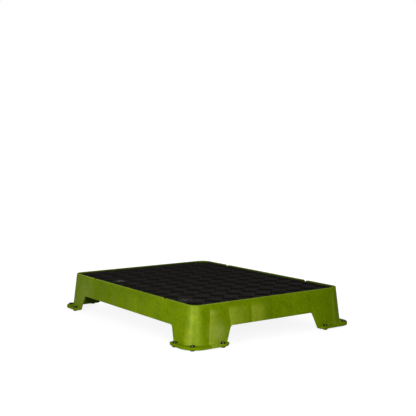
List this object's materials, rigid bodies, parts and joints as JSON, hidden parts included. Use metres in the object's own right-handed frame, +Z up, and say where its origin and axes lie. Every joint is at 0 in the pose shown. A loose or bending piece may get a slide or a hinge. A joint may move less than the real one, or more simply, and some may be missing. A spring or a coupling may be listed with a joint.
{
  "type": "dog place board",
  "caption": "Low moulded dog place board: a rimmed rectangular platform with a ribbed rubber mat let into it, on hollow corner legs with flanged feet and screwed rubber pads.",
  "frame": {"origin": "on the floor, under the centre of the board", "axes": "+Z up, +Y along the long side, +X along the short side; it stands on its feet"},
  "size_m": [0.5524, 0.7174, 0.108],
  "materials": {
    "shell": "satin moulded plastic with a fine grain",
    "mat": "matt black, moulded with blocks of fine ribs",
    "foot_rubber": "matt black",
    "nut": "zinc plated",
    "screw": "satin black coating"
  },
  "bodies": {
    "root": {"board_shell": "shell", "rubber_mat": "mat", "rubber_foot_front_left_short_side": "foot_rubber", "foot_nut_front_left_short_side": "nut", "foot_screw_front_left_short_side": "screw", "rubber_foot_front_left_corner": "foot_rubber", "foot_nut_front_left_corner": "nut", "foot_screw_front_left_corner": "screw", "rubber_foot_front_left_long_side": "foot_rubber", "foot_nut_front_left_long_side": "nut", "foot_screw_front_left_long_side": "screw", "rubber_foot_front_right_short_side": "foot_rubber", "foot_nut_front_right_short_side": "nut", "foot_screw_front_right_short_side": "screw", "rubber_foot_front_right_corner": "foot_rubber", "foot_nut_front_right_corner": "nut", "foot_screw_front_right_corner": "screw", "rubber_foot_front_right_long_side": "foot_rubber", "foot_nut_front_right_long_side": "nut", "foot_screw_front_right_long_side": "screw", "rubber_foot_back_left_short_side": "foot_rubber", "foot_nut_back_left_short_side": "nut", "foot_screw_back_left_short_side": "screw", "rubber_foot_back_left_corner": "foot_rubber", "foot_nut_back_left_corner": "nut", "foot_screw_back_left_corner": "screw", "rubber_foot_back_left_long_side": "foot_rubber", "foot_nut_back_left_long_side": "nut", "foot_screw_back_left_long_side": "screw", "rubber_foot_back_right_short_side": "foot_rubber", "foot_nut_back_right_short_side": "nut", "foot_screw_back_right_short_side": "screw", "rubber_foot_back_right_corner": "foot_rubber", "foot_nut_back_right_corner": "nut", "foot_screw_back_right_corner": "screw", "rubber_foot_back_right_long_side": "foot_rubber", "foot_nut_back_right_long_side": "nut", "foot_screw_back_right_long_side": "screw"}
  },
  "joints": []
}
